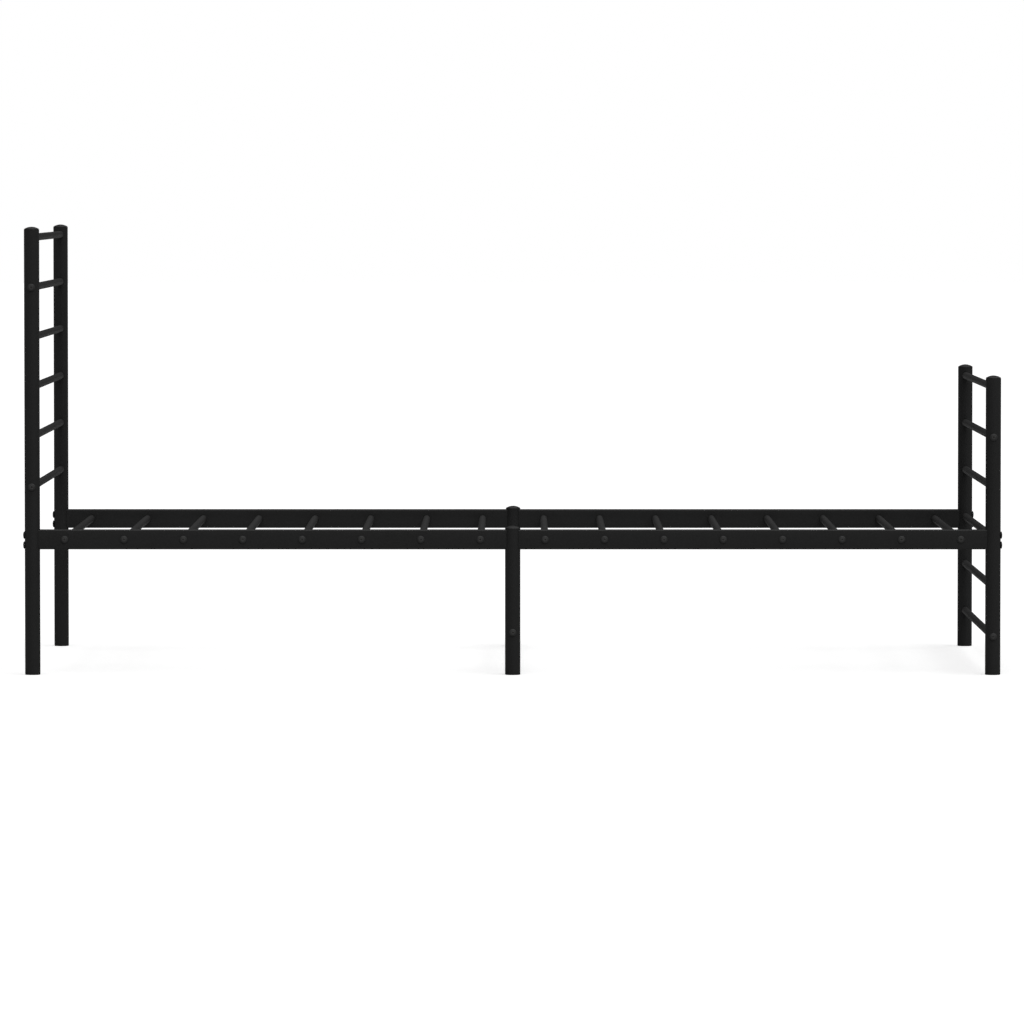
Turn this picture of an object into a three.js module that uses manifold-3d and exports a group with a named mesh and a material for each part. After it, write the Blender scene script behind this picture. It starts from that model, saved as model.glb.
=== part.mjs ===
// Metal tube bed frame for a single mattress, as the separate pieces it is put together from.
// Millimetres. +X runs from the headboard to the footboard, +Z is up, Z = 0 is the floor,
// and X = 0, Y = 0 is the middle of the bed. "right" is the -Y side, "left" the +Y side.
import * as THREE from 'three';
import { mergeVertices } from 'three/addons/utils/BufferGeometryUtils.js';
import Module from 'manifold-3d';

const wasm = await Module();
wasm.setup();

// ---- driving dimensions ----
const fitGap = 0.3; // left between pieces that touch

const mattress = { length: 1900, width: 900, endClearance: 5.5, sideClearance: 2.5 };

const post = { radius: 15.5, wall: 1.5, sides: 16, headboardTop: 900, footboardTop: 600, middleTop: 296 };
const rail = { width: 20, height: 40, wall: 1.5, bottom: 254, saddlePlate: 4 };
const bar = { radius: 7.5, wall: 1, sides: 12, plugLength: 12, ventRadius: 2 }; // rungs, slats, crossbar
const rungs = {
  perBoard: 6,
  pitch: 100.8,
  lowest: 77.6,
  headboardFirst: 3, // how many pitches above the lowest of all
  depthInPost: 9.5,
  clamped: [1, 5], // from the top, counting from 0: held by screws, the others only plug in
};
const slats = { perHalf: 8, pitch: 120, nearestToMiddle: 65.5 };
const crossbar = { height: 86 };
const stub = { length: 35, wall: 1.5 }; // welded to the middle legs, one each way, inside the rails

const screw = { radius: 3, headRadius: 7.5, headRise: 3, headSteps: 2, sides: 8 };
const cornerBolt = { length: 40, spacing: 20, centreHeight: 272.5, socketRadius: 2.3, socketDepth: 1.8 };
const cap = { rise: 5.5, rim: 0.4, plug: 7, crownSteps: 3 };
const glide = { flange: 4, plug: 18, chamfer: 1 };

// ---- places worked out from them ----
const postX = mattress.length / 2 + mattress.endClearance + post.radius;
const railY = mattress.width / 2 + mattress.sideClearance + rail.width / 2;
const railMiddle = rail.bottom + rail.height / 2;
const rungHalf = railY - post.radius + rungs.depthInPost;
const slatHalf = railY + rail.width / 2 - rail.wall - fitGap;
const postBore = post.radius - post.wall;
const boltHeights = [-0.5, 0.5].map((side) => cornerBolt.centreHeight + side * cornerBolt.spacing);
const range = (count) => Array.from({ length: count }, (_, i) => i);

const powderCoat = new THREE.MeshStandardMaterial({ color: 0x1c1c1d, roughness: 0.5, metalness: 0.3 });
const plastic = new THREE.MeshStandardMaterial({ color: 0x141414, roughness: 0.65, metalness: 0 });
const blackSteel = new THREE.MeshStandardMaterial({ color: 0x2b2b2c, roughness: 0.35, metalness: 0.8 });

// ---- geometry to solids and back ----
function toSolid(geometry) {
  geometry.deleteAttribute('normal');
  geometry.deleteAttribute('uv');
  const merged = mergeVertices(geometry);
  const corners = merged.index.array;
  const faces = range(corners.length / 3)
    .map((i) => [corners[3 * i], corners[3 * i + 1], corners[3 * i + 2]])
    .filter(([a, b, c]) => a !== b && b !== c && c !== a);
  const vertProperties = merged.attributes.position.array;
  const triVerts = Uint32Array.from(faces.flat());
  return new wasm.Manifold(new wasm.Mesh({ numProp: 3, vertProperties, triVerts }));
}

function toGeometry(solid) {
  const { vertProperties, triVerts } = solid.getMesh();
  const geometry = new THREE.BufferGeometry();
  geometry.setAttribute('position', new THREE.BufferAttribute(vertProperties, 3));
  geometry.setIndex(new THREE.BufferAttribute(triVerts, 1));
  geometry.computeVertexNormals();
  return geometry;
}

// Turns a geometry whose axis is +Y so that the axis points along a direction, then moves it.
function aimed(geometry, direction, position) {
  const turn = new THREE.Quaternion().setFromUnitVectors(new THREE.Vector3(0, 1, 0), direction);
  return geometry.applyQuaternion(turn).translate(position.x, position.y, position.z);
}

function rod(start, end, radius, sides) {
  const from = new THREE.Vector3(...start);
  const to = new THREE.Vector3(...end);
  const length = from.distanceTo(to);
  const geometry = new THREE.CylinderGeometry(radius, radius, length, sides);
  const direction = to.clone().sub(from).normalize();
  return toSolid(aimed(geometry, direction, from.lerp(to, 0.5)));
}

function block(low, high) {
  const [x, y, z] = low.map((value, i) => (value + high[i]) / 2);
  const geometry = new THREE.BoxGeometry(high[0] - low[0], high[1] - low[1], high[2] - low[2]);
  return toSolid(geometry.translate(x, y, z));
}

// A profile of [radius, height] points, from the axis round the solid and back to the axis.
function turned(profile, sides) {
  return new THREE.LatheGeometry(profile.map(([radius, height]) => new THREE.Vector2(radius, height)), sides);
}

// The profile of a screw head: a quarter of an ellipse from its edge up to the axis.
function headProfile(radius, rise, steps) {
  return range(steps + 1).map((i) => {
    const angle = (i / steps) * (Math.PI / 2);
    return [i === steps ? 0 : radius * Math.cos(angle), rise * Math.sin(angle)];
  });
}

// The profile of a crown that is a slice of a ball, from its edge at the base up to the axis.
function crownProfile(radius, rise, steps, base) {
  const ball = (radius ** 2 + rise ** 2) / (2 * rise);
  return range(steps + 1).map((i) => {
    const distance = radius * (1 - i / steps);
    return [distance, base + rise - ball + Math.sqrt(ball ** 2 - distance ** 2)];
  });
}

// ---- pieces ----

// A low domed screw: its head sits on the seat point and its shank runs back from it.
function screwSolid(seat, outward, length) {
  const position = new THREE.Vector3(...seat);
  const direction = new THREE.Vector3(...outward);
  const profile = [[0, 0], ...headProfile(screw.headRadius, screw.headRise, screw.headSteps)];
  const head = toSolid(aimed(turned(profile, screw.sides), direction, position));
  const tip = position.clone().addScaledVector(direction, -length);
  const insideHead = position.clone().addScaledVector(direction, screw.headRise / 2);
  return head.add(rod(tip.toArray(), insideHead.toArray(), screw.radius, screw.sides));
}

function screwHole(start, end) {
  return rod(start, end, screw.radius + fitGap, screw.sides);
}

// The hollow a bar leaves in the wall it goes through.
function barHole(start, end) {
  return rod(start, end, bar.radius + fitGap, bar.sides);
}

function cornerBoltSolid(side) {
  const seatX = side * (post.radius + fitGap);
  const headTop = seatX + side * screw.headRise;
  const socketFloor = headTop - side * cornerBolt.socketDepth;
  const socket = rod([socketFloor, 0, 0], [headTop + side, 0, 0], cornerBolt.socketRadius, 6);
  return screwSolid([seatX, 0, 0], [side, 0, 0], cornerBolt.length).subtract(socket);
}

// A bar across the bed, open at both ends, that only plugs into its holes.
function plainBar(half) {
  const outside = rod([0, -half, 0], [0, half, 0], bar.radius, bar.sides);
  const bore = rod([0, -half - 1, 0], [0, half + 1, 0], bar.radius - bar.wall, bar.sides);
  return outside.subtract(bore);
}

// A bar with a threaded plug in each end and the two screws that clamp it, joined to it because
// they turn with nothing. A vent in its underside opens the hollow between the plugs.
function clampedBar(half, seat) {
  const hollow = half - bar.plugLength;
  const outside = rod([0, -half, 0], [0, half, 0], bar.radius, bar.sides);
  const bore = rod([0, -hollow, 0], [0, hollow, 0], bar.radius - bar.wall, bar.sides);
  const vent = rod([0, hollow / 2, -bar.radius - 1], [0, hollow / 2, 0], bar.ventRadius, screw.sides);
  const reach = seat - half + fitGap;
  const screws = [-1, 1].map((side) => screwSolid([0, side * seat, 0], [0, side, 0], reach));
  return outside.subtract(bore).subtract(vent).add(screws[0]).add(screws[1]);
}

// A right-hand post, standing on the origin: its bars come in from +Y and its screws from -Y.
function postSolid(top, barHeights, clampedHeights) {
  const outside = rod([0, 0, glide.flange], [0, 0, top], post.radius, post.sides);
  const bore = rod([0, 0, 0], [0, 0, top + 1], postBore, post.sides);
  const beyond = post.radius + 1;
  const barHoles = barHeights.map((z) => barHole([0, 0, z], [0, beyond, z]));
  const screwHoles = clampedHeights.map((z) => screwHole([0, 0, z], [0, -beyond, z]));
  return [bore, ...barHoles, ...screwHoles].reduce((tube, cut) => tube.subtract(cut), outside);
}

function cornerPostSolid(top, barHeights) {
  const clampedHeights = rungs.clamped.map((i) => barHeights[i]);
  const beyond = post.radius + 1;
  const boltHoles = boltHeights.map((z) => screwHole([-beyond, 0, z], [beyond, 0, z]));
  return boltHoles.reduce((tube, cut) => tube.subtract(cut), postSolid(top, barHeights, clampedHeights));
}

// The middle leg's two stubs are rectangular tubes welded to it, which the half rails slide over.
function middleLegSolid() {
  const leg = postSolid(post.middleTop, [crossbar.height], [crossbar.height]);
  const bore = rod([0, 0, 0], [0, 0, post.middleTop + 1], postBore, post.sides);
  const end = post.radius + stub.length;
  const halfWidth = rail.width / 2 - rail.wall - fitGap;
  const halfHeight = rail.height / 2 - rail.wall - fitGap;
  const outside = block(
    [-end, -halfWidth, railMiddle - halfHeight],
    [end, halfWidth, railMiddle + halfHeight],
  );
  const hollow = block(
    [-end - 1, stub.wall - halfWidth, railMiddle - halfHeight + stub.wall],
    [end + 1, halfWidth - stub.wall, railMiddle + halfHeight - stub.wall],
  );
  return leg.add(outside.subtract(hollow).subtract(bore));
}

// Half a side rail: coped round the corner post and the middle leg, closed at the post by a thick
// saddle plate that takes the corner bolts, and open where it slides over the middle leg's stub.
function railSolid(end, side) {
  const near = rail.width / 2;
  const outside = block(
    [end > 0 ? 0 : -postX, side * railY - near, rail.bottom],
    [end > 0 ? postX : 0, side * railY + near, rail.bottom + rail.height],
  );
  const plateStart = postX - post.radius - fitGap - rail.saddlePlate;
  const hollow = block(
    [end > 0 ? -1 : -plateStart, side * railY - near + rail.wall, rail.bottom + rail.wall],
    [end > 0 ? plateStart : 1, side * railY + near - rail.wall, rail.bottom + rail.height - rail.wall],
  );
  const copes = [0, end * postX].map((x) => {
    return rod([x, side * railY, 0], [x, side * railY, post.middleTop], post.radius + fitGap, post.sides);
  });
  const boltHoles = boltHeights.map((z) => {
    return screwHole([end * postX, side * railY, z], [end * (plateStart - 1), side * railY, z]);
  });
  const slatHoles = range(slats.perHalf).flatMap((i) => {
    const x = end * (slats.nearestToMiddle + i * slats.pitch);
    const inside = [x, side * (railY - near - 1), railMiddle];
    const middle = [x, side * railY, railMiddle];
    const beyond = [x, side * (railY + near + 1), railMiddle];
    return [barHole(middle, inside), screwHole(middle, beyond)];
  });
  return [hollow, ...copes, ...boltHoles, ...slatHoles].reduce((tube, cut) => tube.subtract(cut), outside);
}

function capGeometry() {
  const plugRadius = postBore - fitGap;
  const rimTop = fitGap + cap.rim;
  const profile = [[0, -cap.plug], [plugRadius, -cap.plug], [plugRadius, fitGap], [post.radius, fitGap]];
  profile.push(...crownProfile(post.radius, cap.rise - rimTop, cap.crownSteps, rimTop));
  return turned(profile, post.sides).rotateX(Math.PI / 2);
}

function glideGeometry() {
  const plugRadius = postBore - fitGap;
  const flangeTop = glide.flange - fitGap;
  const profile = [
    [0, 0],
    [post.radius - glide.chamfer, 0],
    [post.radius, glide.chamfer],
    [post.radius, flangeTop],
    [plugRadius, flangeTop],
    [plugRadius, glide.flange + glide.plug],
    [0, glide.flange + glide.plug],
  ];
  return turned(profile, post.sides).rotateX(Math.PI / 2);
}

// ---- assembly ----
const bed = new THREE.Group();
const sides = { right: -1, left: 1 };
const sharedCap = toGeometry(toSolid(capGeometry()));
const sharedGlide = toGeometry(toSolid(glideGeometry()));

function add(name, geometry, material, parent, position) {
  const mesh = new THREE.Mesh(geometry, material);
  mesh.name = name;
  mesh.position.set(...position);
  parent.add(mesh);
  return mesh;
}

// Posts or legs of one kind, with their glides and caps, on both sides of the bed.
function addUprights(name, geometry, top, parent) {
  for (const [sideName, side] of Object.entries(sides)) {
    const upright = new THREE.Group();
    upright.position.y = side * railY;
    upright.rotation.z = side > 0 ? Math.PI : 0;
    parent.add(upright);
    add(`${name}_${sideName}`, geometry, powderCoat, upright, [0, 0, 0]);
    add(`${name}_cap_${sideName}`, sharedCap, plastic, upright, [0, 0, top]);
    add(`${name}_glide_${sideName}`, sharedGlide, plastic, upright, [0, 0, 0]);
  }
}

function addBoard(name, end, top, firstRung) {
  const board = new THREE.Group();
  board.position.x = end * postX;
  bed.add(board);
  const heights = range(rungs.perBoard).map((i) => rungs.lowest + (firstRung + i) * rungs.pitch).reverse();
  addUprights(`${name}_post`, toGeometry(cornerPostSolid(top, heights)), top, board);
  const plain = toGeometry(plainBar(rungHalf));
  const clamped = toGeometry(clampedBar(rungHalf, railY + post.radius + fitGap));
  heights.forEach((z, i) => {
    const geometry = rungs.clamped.includes(i) ? clamped : plain;
    add(`${name}_rung_${i + 1}`, geometry, powderCoat, board, [0, 0, z]);
  });
  const bolt = toGeometry(cornerBoltSolid(end));
  for (const [sideName, side] of Object.entries(sides)) {
    boltHeights.forEach((z, i) => {
      const place = i === 0 ? 'lower' : 'upper';
      add(`${name}_bolt_${sideName}_${place}`, bolt, blackSteel, board, [0, side * railY, z]);
    });
  }
}

function addMiddleSupport() {
  addUprights('middle_leg', toGeometry(middleLegSolid()), post.middleTop, bed);
  const geometry = toGeometry(clampedBar(rungHalf, railY + post.radius + fitGap));
  add('middle_leg_crossbar', geometry, powderCoat, bed, [0, 0, crossbar.height]);
}

function addRailsAndSlats() {
  const slat = toGeometry(clampedBar(slatHalf, railY + rail.width / 2 + fitGap));
  for (const [endName, end] of Object.entries({ head: -1, foot: 1 })) {
    for (const [sideName, side] of Object.entries(sides)) {
      add(`side_rail_${endName}_${sideName}`, toGeometry(railSolid(end, side)), powderCoat, bed, [0, 0, 0]);
    }
    for (const i of range(slats.perHalf)) {
      const x = end * (slats.nearestToMiddle + i * slats.pitch);
      add(`slat_${endName}_${i + 1}`, slat, powderCoat, bed, [x, 0, railMiddle]);
    }
  }
}

addBoard('headboard', -1, post.headboardTop, rungs.headboardFirst);
addBoard('footboard', 1, post.footboardTop, 0);
addMiddleSupport();
addRailsAndSlats();

export default bed;
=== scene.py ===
"""The looks of a metal tube bed frame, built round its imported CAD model.

Metres. +X runs from the headboard to the footboard, +Z is up, and Z = 0 is the floor. The right side is -Y.
Every tube, rail, cap, glide, screw and bolt is a fine mesh of its own, placed by the CAD nodes' boxes.
"""

import math

import bmesh
import bpy
from mathutils import Matrix, Vector


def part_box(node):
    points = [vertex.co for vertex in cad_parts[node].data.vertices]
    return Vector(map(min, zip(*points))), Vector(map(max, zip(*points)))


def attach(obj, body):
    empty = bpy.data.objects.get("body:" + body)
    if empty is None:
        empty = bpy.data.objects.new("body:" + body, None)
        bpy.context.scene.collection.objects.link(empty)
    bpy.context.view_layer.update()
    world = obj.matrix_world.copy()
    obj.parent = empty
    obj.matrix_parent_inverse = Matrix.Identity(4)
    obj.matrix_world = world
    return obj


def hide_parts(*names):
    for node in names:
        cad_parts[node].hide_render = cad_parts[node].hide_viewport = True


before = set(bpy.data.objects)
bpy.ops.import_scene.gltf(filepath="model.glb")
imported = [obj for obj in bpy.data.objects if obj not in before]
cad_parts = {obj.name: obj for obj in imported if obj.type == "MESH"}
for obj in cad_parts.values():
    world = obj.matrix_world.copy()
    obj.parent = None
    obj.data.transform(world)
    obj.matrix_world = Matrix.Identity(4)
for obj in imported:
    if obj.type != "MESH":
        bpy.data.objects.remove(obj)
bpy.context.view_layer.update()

MM = 0.001
GAP = 0.3 * MM  # between pieces that touch
WELD = 0.003 * MM  # points of a cut mesh that are closer than this become one
OVERSHOOT = 1.0 * MM  # a cutting tool reaches at least this far past what it cuts
ON_AXIS = 1e-9  # a profile point nearer to the axis than this is on it

# Which way each side lies along Y, and each half along X
SIDES = {"right": -1, "left": 1}
HALVES = {"head": -1, "foot": 1}

# Sizes that the boxes of the CAD nodes don't give. Lips are the rounding of an edge.
POST_WALL = 1.5 * MM
BAR_WALL = 1.0 * MM
TUBE_LIP = 0.35 * MM
BAR_PLUG = 12.0 * MM
VENT_RADIUS = 2.0 * MM

RAIL_WALL = 1.5 * MM
RAIL_CORNER = 3.0 * MM
SADDLE_PLATE = 4.0 * MM
STUB_LENGTH = 35.0 * MM
STUB_CORNER = 2.0 * MM

SHANK_RADIUS = 3.0 * MM
SHANK_CHAMFER = 0.5 * MM
BOLT_SHANK = 40.0 * MM
SCREW_BITE = 8.0 * MM  # how far a screw reaches into the plug of a bar
HEAD_RISE = 3.0 * MM
HEAD_RIM = 0.7 * MM
HEAD_LIP = 0.25 * MM
SOCKET_ACROSS = 4.0 * MM
SOCKET_DEPTH = 1.9 * MM
SOCKET_LEAD_IN = 0.45 * MM

CAP_PLUG = 7.0 * MM
CAP_NOSE = 0.6 * MM  # how much narrower the spigot is at its tip
CAP_RIBS_FROM = 0.8 * MM  # above the spigot's tip
CAP_RIBS_TO = 0.6 * MM  # below the tube's top
CAP_RIM = 0.5 * MM
CAP_LIP = 0.15 * MM
CAP_SHOULDER = 0.3 * MM

GLIDE_FLANGE = 3.7 * MM
GLIDE_FLANGE_LIP = 0.3 * MM
GLIDE_TOE = 1.0 * MM
GLIDE_TOE_LIP = 0.4 * MM
GLIDE_NOSE = 1.2 * MM  # how much narrower the spigot is at its tip
GLIDE_RIBS_FROM = 2.0 * MM  # above the flange
GLIDE_RIBS_TO = 1.5 * MM  # below the spigot's tip

CRUSH_RIB = 0.25 * MM
CRUSH_RIB_SHAPE = ((0, 0), (0.2, 0.7), (0.35, 1), (0.5, 0.7), (0.7, 0))  # shares of its pitch and height
CAP_RIB_COUNT = 3
GLIDE_RIB_COUNT = 5

# How finely the meshes are divided
POST_SIDES = 96
BAR_SIDES = 48
HOLE_SIDES = 48
VENT_SIDES = 24
HEXAGON = 6
CORNER_STEPS = 4
DOME_STEPS = 10

# Shading. Edges that turn by more degrees than this are hard.
HARD_EDGE = 35
MOULDED_HARD_EDGE = 40
WALL_COSINE = 0.995  # a face whose normal is this near to its spoke is on the wall of a tube

# The stage, in metres and degrees, with the sun in watts to a square metre
FLOOR_RADIUS = 60
FLOOR_SIDES = 96
SUN_STRENGTH = 2.15
SUN_WIDTH = 80
SUN_TILT = 12
ROOM_STRENGTH = 0.066
SENSOR_WIDTH = 36  # in mm, as the lens
LENS = 254.74
CAMERA_X = 0.01399
CAMERA_DISTANCE = 14.6318  # from the axes of the right posts
CAMERA_HEIGHT = 0.9841
CAMERA_DOWN = 2.5622
CAMERA_TURN = 0.0602
CAMERA_CLIP = (0.5, 200)


# ---- places, from the CAD frame ----

def centre(node):
    low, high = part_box(node)
    return (low + high) / 2


def size(node):
    low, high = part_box(node)
    return high - low


def is_clamped(bar):
    """Bars that are held by screws reach past the posts or rails that they go into."""
    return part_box(bar)[1].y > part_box("side_rail_head_left")[1].y


def nodes_with(part):
    return sorted(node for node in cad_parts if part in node)


def right_bolts(board):
    return [node for node in BOLTS if node.startswith(f"{board}_bolt_right")]


SLATS = nodes_with("slat_")
BOLTS = nodes_with("_bolt_")
HEADBOARD_RUNGS = nodes_with("headboard_rung_")
FOOTBOARD_RUNGS = nodes_with("footboard_rung_")
CROSSBAR = "middle_leg_crossbar"

POST_RADIUS = size("headboard_post_right").y / 2
BAR_RADIUS = size("slat_head_1").z / 2
HEAD_RADIUS = size(BOLTS[0]).z / 2
SPIGOT_RADIUS = POST_RADIUS - POST_WALL - GAP
POST_HOLE = POST_RADIUS + GAP
BAR_HOLE = BAR_RADIUS + GAP
SHANK_HOLE = SHANK_RADIUS + GAP
THREAD_HOLE = SHANK_RADIUS + GAP / 2


# ---- mesh tools ----

def pointing(position, direction):
    """Puts a mesh made along +Z at a position, along a direction."""
    turn = Vector(direction).to_track_quat("Z", "Y").to_matrix().to_4x4()
    return Matrix.Translation(position) @ turn


def rounded(corners, closed=False):
    """The points of an outline of (a, b, rounding) corners, each eased into a short curve."""
    points = []
    last = len(corners) - 1
    for i, (a, b, rounding) in enumerate(corners):
        here = Vector((a, b))
        if rounding == 0 or (not closed and i in (0, last)):
            points.append(here)
            continue
        before = Vector(corners[i - 1][:2])
        after = Vector(corners[(i + 1) % len(corners)][:2])
        start = here + (before - here).normalized() * rounding
        end = here + (after - here).normalized() * rounding
        for step in range(CORNER_STEPS + 1):
            t = step / CORNER_STEPS
            points.append(start.lerp(here, t).lerp(here.lerp(end, t), t))
    return points


def shallow_dome(radius, base, rise):
    """The points of a ball-shaped dome from its edge up to its top on the axis."""
    ball = (radius ** 2 + rise ** 2) / (2 * rise)
    half_angle = math.asin(radius / ball)
    angles = [half_angle * (1 - step / DOME_STEPS) for step in range(DOME_STEPS)]
    points = [Vector((ball * math.sin(a), base + rise - ball * (1 - math.cos(a)))) for a in angles]
    return points + [Vector((0, base + rise))]


def dome(radius, base, rise):
    """The points of a quarter ellipse from the rim of a dome up to its top on the axis."""
    angles = [math.pi / 2 * step / DOME_STEPS for step in range(DOME_STEPS)]
    points = [Vector((radius * math.cos(a), base + rise * math.sin(a))) for a in angles]
    return points + [Vector((0, base + rise))]


def crush_ribs(low, high, count):
    """Small rounded ribs round a spigot, as profile points going up."""
    points = []
    pitch = (high - low) / count
    for i in range(count):
        start = low + i * pitch
        for along, out in CRUSH_RIB_SHAPE:
            points.append(Vector((SPIGOT_RADIUS - CRUSH_RIB + out * CRUSH_RIB, start + along * pitch)))
    return points


def turned(name, profile, sides, closed=False):
    """The mesh of a (radius, height) profile turned about Z. A closed profile makes a ring."""
    vertices, rings = [], []
    for radius, height in profile:
        if radius < ON_AXIS:
            rings.append([len(vertices)] * sides)
            vertices.append((0, 0, height))
            continue
        rings.append(list(range(len(vertices), len(vertices) + sides)))
        for k in range(sides):
            angle = 2 * math.pi * k / sides
            vertices.append((radius * math.cos(angle), radius * math.sin(angle), height))
    faces = []
    following = rings[1:] + rings[:1] if closed else rings[1:]
    for low, high in zip(rings, following):
        for k in range(sides):
            loop = [low[k], low[(k + 1) % sides], high[(k + 1) % sides], high[k]]
            faces.append(list(dict.fromkeys(loop)))
    mesh = bpy.data.meshes.new(name)
    mesh.from_pydata(vertices, [], faces)
    return mesh


def rod(radius, start, end, sides=HOLE_SIDES):
    """A closed round rod between two points, which cuts a hole."""
    start, end = Vector(start), Vector(end)
    length = (end - start).length
    mesh = turned("rod", [(0, 0), (radius, 0), (radius, length), (0, length)], sides)
    mesh.transform(pointing(start, end - start))
    return mesh


def prism(name, outline, start, end):
    """The mesh of a closed (y, z) outline drawn out along X."""
    count = len(outline)
    vertices = [(x, y, z) for x in (start, end) for y, z in outline]
    faces = [[i, (i + 1) % count, count + (i + 1) % count, count + i] for i in range(count)]
    faces += [list(range(count))[::-1], list(range(count, 2 * count))]
    mesh = bpy.data.meshes.new(name)
    mesh.from_pydata(vertices, [], [face[::-1] for face in faces] if start > end else faces)
    return mesh


def box_outline(width, height, rounding):
    """A rounded rectangle about the middle, counter-clockwise as (y, z)."""
    y, z = width / 2, height / 2
    return rounded([(-y, -z, rounding), (y, -z, rounding), (y, z, rounding), (-y, z, rounding)], closed=True)


def cut(mesh, tools):
    """The mesh less the tools."""
    base = bpy.data.objects.new(mesh.name, mesh)
    made = [base]
    bpy.context.collection.objects.link(base)
    for tool_mesh in tools:
        tool = bpy.data.objects.new("tool", tool_mesh)
        bpy.context.collection.objects.link(tool)
        made.append(tool)
        step = base.modifiers.new("cut", "BOOLEAN")
        step.operation = "DIFFERENCE"
        step.solver = "EXACT"
        step.object = tool
    bpy.context.view_layer.update()
    result = bpy.data.meshes.new_from_object(base.evaluated_get(bpy.context.evaluated_depsgraph_get()))
    result.name = mesh.name
    for thing in made:
        bpy.data.objects.remove(thing)
    return welded(result)


def welded(mesh):
    """The mesh with the doubled points that cutting leaves made one, and many-sided faces divided evenly."""
    work = bmesh.new()
    work.from_mesh(mesh)
    bmesh.ops.remove_doubles(work, verts=work.verts, dist=WELD)
    bmesh.ops.dissolve_degenerate(work, edges=work.edges, dist=WELD)
    many_sided = [face for face in work.faces if len(face.verts) > 4]
    bmesh.ops.triangulate(work, faces=many_sided, ngon_method="BEAUTY")
    work.to_mesh(mesh)
    work.free()
    return mesh


def shade(mesh, hard_edge=HARD_EDGE):
    """Smooth shading with hard edges where faces turn sharply, and flat faces kept flat."""
    for polygon in mesh.polygons:
        polygon.use_smooth = True
    mesh.set_sharp_from_angle(angle=math.radians(hard_edge))
    return mesh


def round_normals(mesh, middles):
    """Exact normals on the walls of tubes: each middle is a line along Z at (x, y).

    Faces that look straight away from a line, or straight at it, take that line's own direction, so that
    the long facets beside a hole still shade as one round surface.
    """
    shade(mesh)
    normals = [Vector(n.vector) for n in mesh.corner_normals]
    for polygon in mesh.polygons:
        for x, y in middles:
            spoke = Vector((polygon.center.x - x, polygon.center.y - y, 0))
            if abs(polygon.normal.dot(spoke.normalized())) < WALL_COSINE:
                continue
            facing = 1 if polygon.normal.dot(spoke) > 0 else -1
            for loop in polygon.loop_indices:
                corner = mesh.vertices[mesh.loops[loop].vertex_index].co
                normals[loop] = facing * Vector((corner.x - x, corner.y - y, 0)).normalized()
    mesh.normals_split_custom_set(normals)
    return mesh


# ---- materials ----

NOISE_SPAN = (0.3, 0.7)  # where most values of a noise lie
WEAR_AND_HIGHLIGHT_RADIUS = 1.2 * SOCKET_ACROSS  # from a screw's axis to where the rubbed wear and painted highlight round its socket fade out


class Nodes:
    """A node material under construction."""

    def __init__(self, name):
        self.material = bpy.data.materials.new(name)
        self.material.use_nodes = True
        self.tree = self.material.node_tree
        self.shader = self.tree.nodes["Principled BSDF"]

    def add(self, kind, inputs=None, **settings):
        node = self.tree.nodes.new(kind)
        for key, value in settings.items():
            setattr(node, key, value)
        for key, value in (inputs or {}).items():
            self.set(node.inputs[key], value)
        return node

    def set(self, socket, value):
        if isinstance(value, bpy.types.NodeSocket):
            self.tree.links.new(value, socket)
        else:
            socket.default_value = value

    def surface(self, inputs):
        """Sets the shader's own sockets, and gives the material."""
        for key, value in inputs.items():
            self.set(self.shader.inputs[key], value)
        return self.material

    def object_place(self):
        return self.add("ShaderNodeTexCoord").outputs["Object"]

    def own_place(self):
        """A place on the object, shifted by a different amount for each copy of a mesh."""
        place = self.object_place()
        copy = self.add("ShaderNodeObjectInfo").outputs["Random"]
        return self.add("ShaderNodeVectorMath", {0: place, 1: copy}, operation="ADD").outputs[0]

    def from_axis(self):
        """The distance from the Z axis of the mesh."""
        place = self.object_place()
        level = self.add("ShaderNodeVectorMath", {0: place, 1: (1, 1, 0)}, operation="MULTIPLY").outputs[0]
        return self.add("ShaderNodeVectorMath", {0: level}, operation="LENGTH").outputs["Value"]

    def noise(self, place, scale, detail, roughness=0.5):
        """A noise with this many cells to a metre."""
        inputs = {"Vector": place, "Scale": scale, "Detail": detail, "Roughness": roughness}
        return self.add("ShaderNodeTexNoise", inputs).outputs["Fac"]

    def facing_up(self):
        """1 on a face that looks straight up, 0 on an upright one."""
        normal = self.add("ShaderNodeNewGeometry").outputs["Normal"]
        return self.add("ShaderNodeSeparateXYZ", {0: normal}).outputs["Z"]

    def ranged(self, value, span, target=(0, 1)):
        """The value carried over from one (low, high) span to another, and held inside it."""
        inputs = {0: value, 1: span[0], 2: span[1], 3: target[0], 4: target[1]}
        return self.add("ShaderNodeMapRange", inputs).outputs[0]

    def product(self, first, second):
        return self.add("ShaderNodeMath", {0: first, 1: second}, operation="MULTIPLY").outputs[0]

    def blend(self, factor, first, second):
        node = self.add("ShaderNodeMix", data_type="RGBA")
        self.set(node.inputs["Factor"], factor)
        self.set(node.inputs["A"], first)
        self.set(node.inputs["B"], second)
        return node.outputs["Result"]

    def bump(self, height, strength, depth, under=None):
        inputs = {"Height": height, "Strength": strength, "Distance": depth}
        if under is not None:
            inputs["Normal"] = under
        return self.add("ShaderNodeBump", inputs).outputs["Normal"]


def grey(level, warmth=0.0):
    return (level * (1 + warmth), level, level * (1 - warmth), 1)


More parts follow.
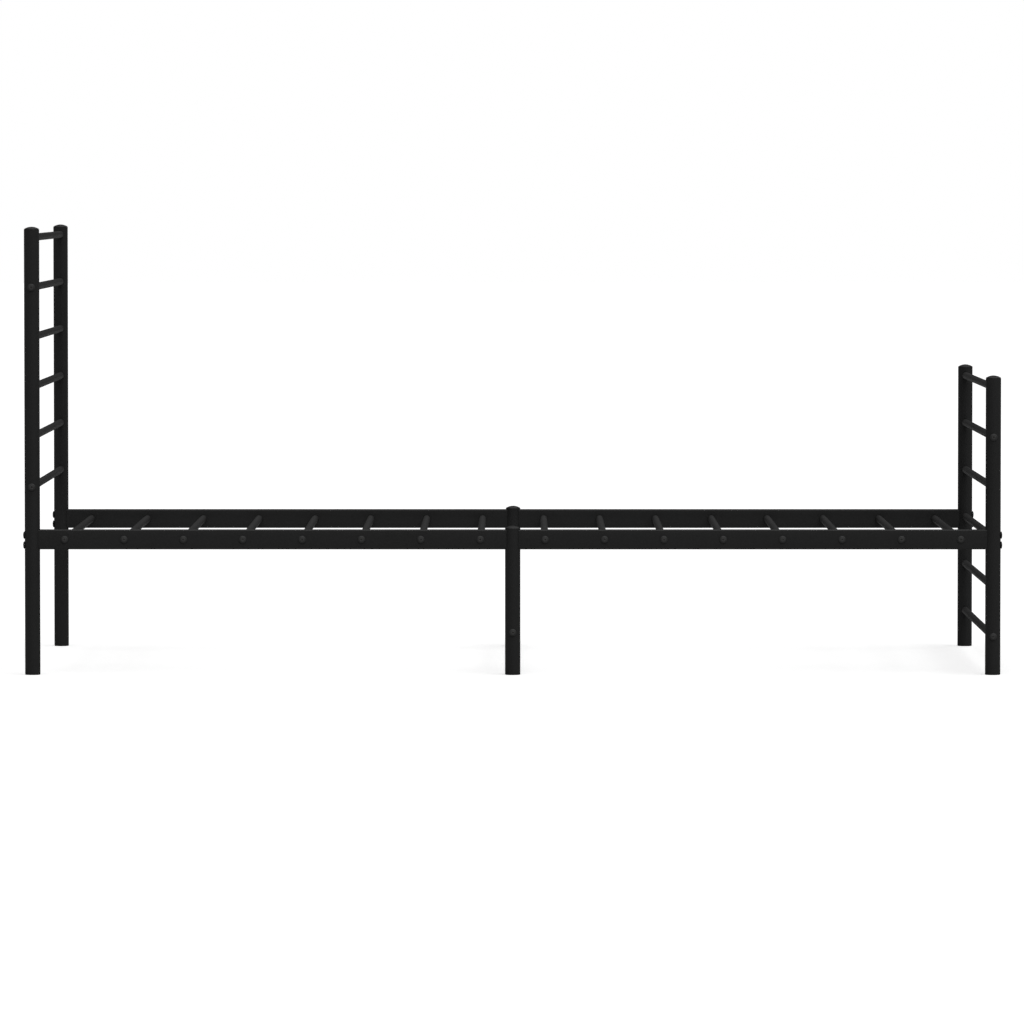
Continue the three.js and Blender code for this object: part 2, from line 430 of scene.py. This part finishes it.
def powder_coat():
    """Satin black powder coat: orange peel under a fine grain whose peaks are painted lighter as tiny
    highlights, slow changes of tint, and a little dust on what faces up."""
    m = Nodes("powder_coat")
    place = m.own_place()
    slow = m.noise(place, scale=7, detail=3)
    patches = m.noise(place, scale=55, detail=4, roughness=0.6)
    peel = m.noise(place, scale=750, detail=2)
    grain = m.noise(place, scale=1900, detail=2, roughness=0.7)
    speckle = m.noise(place, scale=420, detail=3)
    tint = m.blend(m.ranged(slow, NOISE_SPAN), grey(0.0120, warmth=0.02), grey(0.0175, warmth=-0.02))
    # Painted highlight: the tint goes lighter on the peaks of the same grain that bumps the coat. This stands
    # in for tiny highlights on the texture, as well as being the grain's own tone.
    tint = m.blend(m.ranged(grain, (0.42, 0.72)), tint, grey(0.042))
    lying = m.ranged(m.facing_up(), (0.75, 1.0), (0, 0.35))
    dust = m.product(m.ranged(speckle, (0.56, 0.72)), lying)
    peeled = m.bump(peel, strength=1.0, depth=0.3 * MM)
    return m.surface({
        "Base Color": m.blend(dust, tint, grey(0.075, warmth=0.06)),
        "Roughness": m.ranged(patches, NOISE_SPAN, (0.50, 0.61)),
        "Normal": m.bump(grain, strength=0.9, depth=0.07 * MM, under=peeled),
        "Specular IOR Level": 0.4,
    })


def moulded_plastic():
    """Black moulded plastic with a fine spark-eroded texture."""
    m = Nodes("moulded_plastic")
    place = m.own_place()
    flow = m.noise(place, scale=60, detail=3)
    spark = m.noise(place, scale=1900, detail=3, roughness=0.7)
    tint = m.blend(flow, grey(0.0135), grey(0.018))
    return m.surface({
        "Base Color": m.blend(m.ranged(spark, (0.42, 0.68), (0, 0.7)), tint, grey(0.036)),
        "Roughness": m.ranged(flow, NOISE_SPAN, (0.56, 0.68)),
        "Normal": m.bump(spark, strength=0.8, depth=0.06 * MM),
        "Specular IOR Level": 0.42,
    })


def black_steel():
    """Screws and bolts: black-finished steel, lighter in and round the socket, partly rubbed by the key and
    partly a painted highlight that lifts the socket's shade.
    """
    m = Nodes("black_steel")
    place = m.own_place()
    stain = m.noise(place, scale=350, detail=4)
    rub = m.noise(place, scale=900, detail=3)
    grain = m.noise(place, scale=2400, detail=2)
    # Painted highlight and wear: in and round the socket the colour goes lighter. It is partly rubbed by the
    # key and partly lifts the shade of the socket's recess.
    round_socket = m.ranged(m.from_axis(), (SOCKET_ACROSS / 2, WEAR_AND_HIGHLIGHT_RADIUS), (1, 0))
    rub_wear_and_highlight = m.product(round_socket, m.ranged(rub, (0.35, 0.6), (0.2, 1)))
    unworn = m.blend(stain, grey(0.045), grey(0.065))
    return m.surface({
        # the lighter grey of the rubbed wear and painted highlight in and round the socket
        "Base Color": m.blend(rub_wear_and_highlight, unworn, grey(0.14, warmth=0.02)),
        "Roughness": m.ranged(stain, NOISE_SPAN, (0.52, 0.62)),
        "Normal": m.bump(grain, strength=0.5, depth=0.03 * MM),
        "Metallic": 0.15,
        "Specular IOR Level": 0.3,
    })


def pale_floor():
    """A plain, pale, matt studio floor: bright to the camera, and dimmer in the light it throws back up."""
    m = Nodes("pale_floor")
    cloud = m.noise(m.object_place(), scale=1.5, detail=4)
    m.surface({
        "Base Color": m.blend(cloud, grey(0.88), grey(0.9)),
        "Roughness": 0.9,
        "Specular IOR Level": 0.1,
        "Emission Color": grey(1),
        "Emission Strength": 0.5,
    })
    bounce = m.add("ShaderNodeBsdfDiffuse", {"Color": grey(0.35)}).outputs[0]
    seen = m.add("ShaderNodeLightPath").outputs["Is Camera Ray"]
    mix = m.add("ShaderNodeMixShader", {0: seen, 1: bounce, 2: m.shader.outputs[0]})
    m.set(m.tree.nodes["Material Output"].inputs["Surface"], mix.outputs[0])
    return m.material


FINISHES = {
    "powder_coat": powder_coat(),
    "black_plastic": moulded_plastic(),
    "black_steel": black_steel(),
}


# ---- pieces ----

def place_piece(name, mesh, slot, matrix, *nodes):
    """A piece of the object, riding on the one body, that stands for these CAD nodes."""
    piece = bpy.data.objects.new(name, mesh)
    bpy.context.collection.objects.link(piece)
    piece.matrix_world = matrix
    if not mesh.materials:
        mesh.materials.append(FINISHES[slot])
    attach(piece, "root")
    if nodes:
        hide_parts(*nodes)


def upright_at(node):
    """The floor point under a post or leg. The left ones are turned so that their bars come from inside."""
    middle = centre(node)
    turn = math.pi if middle.y > 0 else 0
    return Matrix.Translation((middle.x, middle.y, 0)) @ Matrix.Rotation(turn, 4, "Z")


def tube_mesh(name, radius, wall, low, high, sides):
    """A plain round tube along Z, with eased rims at both ends."""
    bore = radius - wall
    corners = [(radius, low), (radius, high), (bore, high), (bore, low)]
    outline = rounded([(*corner, TUBE_LIP) for corner in corners], closed=True)
    return turned(name, outline, sides, closed=True)


def upright_mesh(post, bars, bolts):
    """A right-hand post or leg: bars come in from +Y, their screws from -Y, and corner bolts along X."""
    low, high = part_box(post)
    mesh = tube_mesh(post, POST_RADIUS, POST_WALL, low.z, high.z, POST_SIDES)
    beyond = POST_RADIUS + OVERSHOOT
    tools = []
    for bar in bars:
        z = centre(bar).z
        tools.append(rod(BAR_HOLE, (0, 0, z), (0, beyond, z)))
        if is_clamped(bar):
            tools.append(rod(SHANK_HOLE, (0, 0, z), (0, -beyond, z)))
    for bolt in bolts:
        z = centre(bolt).z
        tools.append(rod(SHANK_HOLE, (-beyond, 0, z), (beyond, 0, z)))
    return round_normals(cut(mesh, tools), [(0, 0)])


def bar_mesh(name, half_length):
    """A rung, slat or crossbar that is clamped by screws: a plug with a threaded hole fills each end, and
    a drain hole opens the hollow between them. It lies along Z, with its underside towards +Y."""
    bore = BAR_RADIUS - BAR_WALL
    hollow = half_length - BAR_PLUG
    outline = rounded([
        (BAR_RADIUS, -half_length, TUBE_LIP),
        (BAR_RADIUS, half_length, TUBE_LIP),
        (THREAD_HOLE, half_length, TUBE_LIP),
        (THREAD_HOLE, hollow, 0),
        (bore, hollow, 0),
        (bore, -hollow, 0),
        (THREAD_HOLE, -hollow, 0),
        (THREAD_HOLE, -half_length, TUBE_LIP),
    ], closed=True)
    mesh = turned(name, outline, BAR_SIDES, closed=True)
    vent = rod(VENT_RADIUS, (0, 0, hollow / 2), (0, 2 * BAR_RADIUS, hollow / 2), VENT_SIDES)
    return round_normals(cut(mesh, [vent]), [(0, 0)])


def screw_mesh(name, length):
    """A low domed screw along +Z with a hexagon socket. The underside of its head is at the origin."""
    profile = rounded([
        (0, -length, 0),
        (SHANK_RADIUS, -length, SHANK_CHAMFER),
        (SHANK_RADIUS, 0, HEAD_LIP / 2),
        (HEAD_RADIUS, 0, HEAD_LIP),
        (HEAD_RADIUS, HEAD_RIM, 0),
    ])
    profile = profile[:-1] + dome(HEAD_RADIUS, HEAD_RIM, HEAD_RISE - HEAD_RIM)
    mesh = turned(name, profile, BAR_SIDES)
    beyond = HEAD_RISE + OVERSHOOT
    corner_radius = SOCKET_ACROSS / math.sqrt(3)
    socket = rod(corner_radius, (0, 0, HEAD_RISE - SOCKET_DEPTH), (0, 0, beyond), HEXAGON)
    cone_start = HEAD_RISE - SOCKET_LEAD_IN
    cone_radius = SOCKET_ACROSS / 2
    lead_in = turned("lead_in", [
        (0, cone_start),
        (cone_radius, cone_start),
        (cone_radius + beyond - cone_start, beyond),
        (0, beyond),
    ], BAR_SIDES)
    return shade(cut(mesh, [socket, lead_in]))


def cap_mesh():
    """A domed tube plug with crush ribs round its spigot. The origin is the top of the tube."""
    profile = [Vector((0, -CAP_PLUG)), Vector((SPIGOT_RADIUS - CAP_NOSE, -CAP_PLUG))]
    profile += crush_ribs(-CAP_PLUG + CAP_RIBS_FROM, -CAP_RIBS_TO, CAP_RIB_COUNT)
    rim_top = GAP + CAP_RIM
    rise = size("headboard_post_cap_right").z - CAP_PLUG - rim_top
    crown = shallow_dome(POST_RADIUS, rim_top, rise)
    profile += rounded([
        (SPIGOT_RADIUS, GAP, 0),
        (POST_RADIUS, GAP, CAP_LIP),
        (POST_RADIUS, rim_top, CAP_SHOULDER),
        (*crown[1], 0),
    ])
    profile = profile[:-1] + crown[1:]
    return shade(turned("cap", profile, POST_SIDES), MOULDED_HARD_EDGE)


def glide_mesh():
    """A flat-bottomed foot with a flange as wide as the tube and a ribbed spigot. The origin is the floor."""
    top = size("headboard_post_glide_right").z
    profile = rounded([
        (0, 0, 0),
        (POST_RADIUS - GLIDE_TOE, 0, GLIDE_TOE_LIP),
        (POST_RADIUS, GLIDE_TOE, GLIDE_TOE_LIP),
        (POST_RADIUS, GLIDE_FLANGE, GLIDE_FLANGE_LIP),
        (SPIGOT_RADIUS - CRUSH_RIB, GLIDE_FLANGE, 0),
    ])
    profile += crush_ribs(GLIDE_FLANGE + GLIDE_RIBS_FROM, top - GLIDE_RIBS_TO, GLIDE_RIB_COUNT)
    profile += [Vector((SPIGOT_RADIUS - GLIDE_NOSE, top)), Vector((0, top))]
    return shade(turned("glide", profile, POST_SIDES), MOULDED_HARD_EDGE)


def rail_mesh(half, side):
    """Half a side rail: a rounded box tube, coped round the post and the leg, with a saddle plate inside
    its post end, holes for the bars in its inner wall and for their screws in its outer wall."""
    node = f"side_rail_{half}_{side}"
    board = f"{half}board"
    end, outward = HALVES[half], SIDES[side]
    low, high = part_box(node)
    width, height = high.y - low.y, high.z - low.z
    post_x = centre(f"{board}_post_right").x
    mesh = prism(node, box_outline(width, height, RAIL_CORNER), 0, post_x)
    inside = box_outline(width - 2 * RAIL_WALL, height - 2 * RAIL_WALL, RAIL_CORNER - RAIL_WALL)
    plate_start = post_x - end * (POST_HOLE + SADDLE_PLATE)
    tools = [prism("hollow", inside, -end * OVERSHOOT, plate_start)]
    for x in (0, post_x):
        tools.append(rod(POST_HOLE, (x, 0, -height), (x, 0, height), POST_SIDES))
    for bolt in right_bolts(board):
        z = centre(bolt).z - centre(node).z
        tools.append(rod(SHANK_HOLE, (post_x, 0, z), (plate_start - end * OVERSHOOT, 0, z)))
    for slat in SLATS:
        x = centre(slat).x
        if low.x < x < high.x:
            tools.append(rod(BAR_HOLE, (x, 0, 0), (x, -outward * width, 0)))
            tools.append(rod(SHANK_HOLE, (x, 0, 0), (x, outward * width, 0)))
    return round_normals(cut(mesh, tools), [(0, 0), (post_x, 0)])


def stub_mesh(name, end):
    """The rectangular tube welded to a middle leg, on which a half rail sits."""
    rail = size("side_rail_head_right")
    width, height = rail.y - 2 * (RAIL_WALL + GAP), rail.z - 2 * (RAIL_WALL + GAP)
    far = end * (POST_RADIUS + STUB_LENGTH)
    mesh = prism(name, box_outline(width, height, STUB_CORNER), 0, far)
    inner = box_outline(width - 2 * RAIL_WALL, height - 2 * RAIL_WALL, STUB_CORNER - RAIL_WALL)
    hollow = prism("hollow", inner, -end * OVERSHOOT, far + end * OVERSHOOT)
    cope = rod(POST_RADIUS, (0, 0, -height), (0, 0, height), POST_SIDES)
    return shade(cut(mesh, [hollow, cope]))


def add_uprights():
    """Corner posts and middle legs, each with its cap and glide."""
    kinds = {
        "headboard_post": (HEADBOARD_RUNGS, right_bolts("headboard")),
        "footboard_post": (FOOTBOARD_RUNGS, right_bolts("footboard")),
        "middle_leg": ([CROSSBAR], []),
    }
    cap, glide = cap_mesh(), glide_mesh()
    for kind, (bars, bolts) in kinds.items():
        tube = upright_mesh(f"{kind}_right", bars, bolts)
        for side in SIDES:
            node = f"{kind}_{side}"
            stand = upright_at(node)
            top = Matrix.Translation((0, 0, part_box(node)[1].z))
            place_piece(f"{node}_tube", tube, "powder_coat", stand, node)
            place_piece(f"{kind}_cap_{side}_plug", cap, "black_plastic", stand @ top, f"{kind}_cap_{side}")
            place_piece(f"{kind}_glide_{side}_foot", glide, "black_plastic", stand, f"{kind}_glide_{side}")


def add_stubs():
    stubs = {half: stub_mesh(f"stub_{half}", end) for half, end in HALVES.items()}
    for side in SIDES:
        leg = centre(f"middle_leg_{side}")
        height = centre(f"side_rail_head_{side}").z
        for half in HALVES:
            at = Matrix.Translation((leg.x, leg.y, height))
            place_piece(f"middle_leg_{side}_stub_{half}", stubs[half], "powder_coat", at)


def add_bars():
    """Rungs, slats and the crossbar. The clamped ones have their screws."""
    rail_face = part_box("side_rail_head_left")[1].y
    rail_seat = rail_face + GAP
    post_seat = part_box("headboard_post_left")[1].y + GAP
    rung_half = size(HEADBOARD_RUNGS[0]).y / 2
    slat_half = rail_face - RAIL_WALL - GAP
    plain_rung = tube_mesh("plain_rung", BAR_RADIUS, BAR_WALL, -rung_half, rung_half, BAR_SIDES)
    round_normals(plain_rung, [(0, 0)])
    clamped_rung = bar_mesh("clamped_rung", rung_half)
    slat = bar_mesh("slat", slat_half)
    rung_screw = screw_mesh("rung_screw", post_seat - rung_half + SCREW_BITE)
    slat_screw = screw_mesh("slat_screw", rail_seat - slat_half + SCREW_BITE)
    bars = [(node, slat, slat_screw, rail_seat) for node in SLATS]
    for node in HEADBOARD_RUNGS + FOOTBOARD_RUNGS + [CROSSBAR]:
        mesh, screw = (clamped_rung, rung_screw) if is_clamped(node) else (plain_rung, None)
        bars.append((node, mesh, screw, post_seat))
    across = Matrix.Rotation(-math.pi / 2, 4, "X")
    for node, mesh, screw, seat in bars:
        middle = centre(node)
        place_piece(f"{node}_bar", mesh, "powder_coat", Matrix.Translation(middle) @ across, node)
        if screw is None:
            continue
        for side, outward in SIDES.items():
            at = pointing((middle.x, outward * seat, middle.z), (0, outward, 0))
            place_piece(f"{node}_screw_{side}", screw, "black_steel", at)


def add_corner_bolts():
    mesh = screw_mesh("corner_bolt", BOLT_SHANK)
    for node in BOLTS:
        board = node.split("_bolt_")[0]
        end = HALVES[board.removesuffix("board")]
        middle = centre(node)
        seat = (centre(f"{board}_post_right").x + end * POST_HOLE, middle.y, middle.z)
        place_piece(f"{node}_hex", mesh, "black_steel", pointing(seat, (end, 0, 0)), node)


def add_rails():
    for half in HALVES:
        for side in SIDES:
            node = f"side_rail_{half}_{side}"
            middle = centre(node)
            at = Matrix.Translation((0, middle.y, middle.z))
            place_piece(f"{node}_tube", rail_mesh(half, side), "powder_coat", at, node)


# ---- stage ----

def add_floor():
    mesh = turned("floor", [(0, 0), (FLOOR_RADIUS, 0)], FLOOR_SIDES)
    mesh.flip_normals()
    floor = bpy.data.objects.new("floor", mesh)
    bpy.context.collection.objects.link(floor)
    mesh.materials.append(pale_floor())


def add_lights():
    sun = bpy.data.lights.new("overhead", "SUN")
    sun.energy = SUN_STRENGTH
    sun.angle = math.radians(SUN_WIDTH)
    lamp = bpy.data.objects.new("overhead", sun)
    lamp.rotation_euler = (math.radians(SUN_TILT), math.radians(SUN_TILT), 0)
    bpy.context.collection.objects.link(lamp)


def add_world():
    """A white studio as the camera sees it, with a dimmer room round the object to light it."""
    world = bpy.data.worlds.new("studio")
    bpy.context.scene.world = world
    world.use_nodes = True
    tree = world.node_tree
    room = tree.nodes["Background"]
    room.inputs["Color"].default_value = grey(1)
    room.inputs["Strength"].default_value = ROOM_STRENGTH
    seen = tree.nodes.new("ShaderNodeBackground")
    seen.inputs["Color"].default_value = grey(1)
    path = tree.nodes.new("ShaderNodeLightPath")
    choice = tree.nodes.new("ShaderNodeMixShader")
    tree.links.new(path.outputs["Is Camera Ray"], choice.inputs[0])
    tree.links.new(room.outputs[0], choice.inputs[1])
    tree.links.new(seen.outputs[0], choice.inputs[2])
    tree.links.new(choice.outputs[0], tree.nodes["World Output"].inputs["Surface"])


def add_camera():
    """A long lens far out on the right side, a little above the bed and tilted down at it."""
    camera = bpy.data.cameras.new("camera")
    camera.sensor_width = SENSOR_WIDTH
    camera.lens = LENS
    camera.clip_start, camera.clip_end = CAMERA_CLIP
    eye = bpy.data.objects.new("camera", camera)
    eye.location = (CAMERA_X, centre("headboard_post_right").y - CAMERA_DISTANCE, CAMERA_HEIGHT)
    eye.rotation_euler = (math.radians(90 - CAMERA_DOWN), 0, math.radians(CAMERA_TURN))
    bpy.context.collection.objects.link(eye)
    bpy.context.scene.camera = eye


add_camera()
add_uprights()
add_stubs()
add_bars()
add_corner_bolts()
add_rails()
add_floor()
add_lights()
add_world()
bpy.context.scene.view_settings.view_transform = "Standard"
